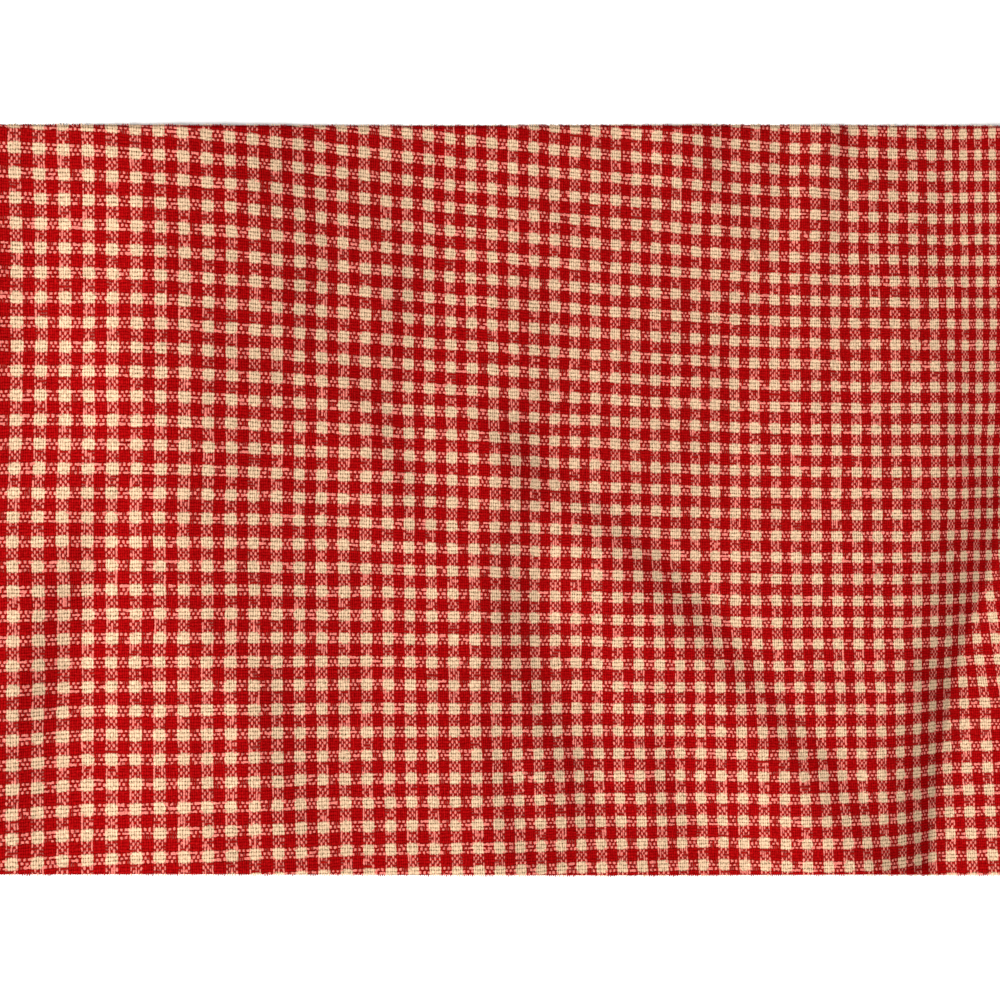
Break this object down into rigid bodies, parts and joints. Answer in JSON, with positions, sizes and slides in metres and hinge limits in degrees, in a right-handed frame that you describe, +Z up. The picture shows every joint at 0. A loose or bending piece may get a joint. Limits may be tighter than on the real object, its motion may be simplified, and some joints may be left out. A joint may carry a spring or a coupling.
{
  "type": "gingham fabric",
  "caption": "Cut length of small-checked woven cotton cloth, laid down with one steep ridge, a slanting crease and low swells, raw cut on all sides; for covering, wrapping or sewing",
  "frame": {"origin": "middle of the bounding box in X and Y, on the surface that the cloth lies on", "axes": "+X across the cloth along its weft rows, +Y away from the viewer along its warp columns, +Z up from the surface"},
  "size_m": [0.3044, 0.2283, 0.0078],
  "materials": {
    "gingham_cloth": "matte plain weave in red and cream checks"
  },
  "bodies": {
    "root": {"gingham_cloth": "gingham_cloth"}
  },
  "joints": []
}
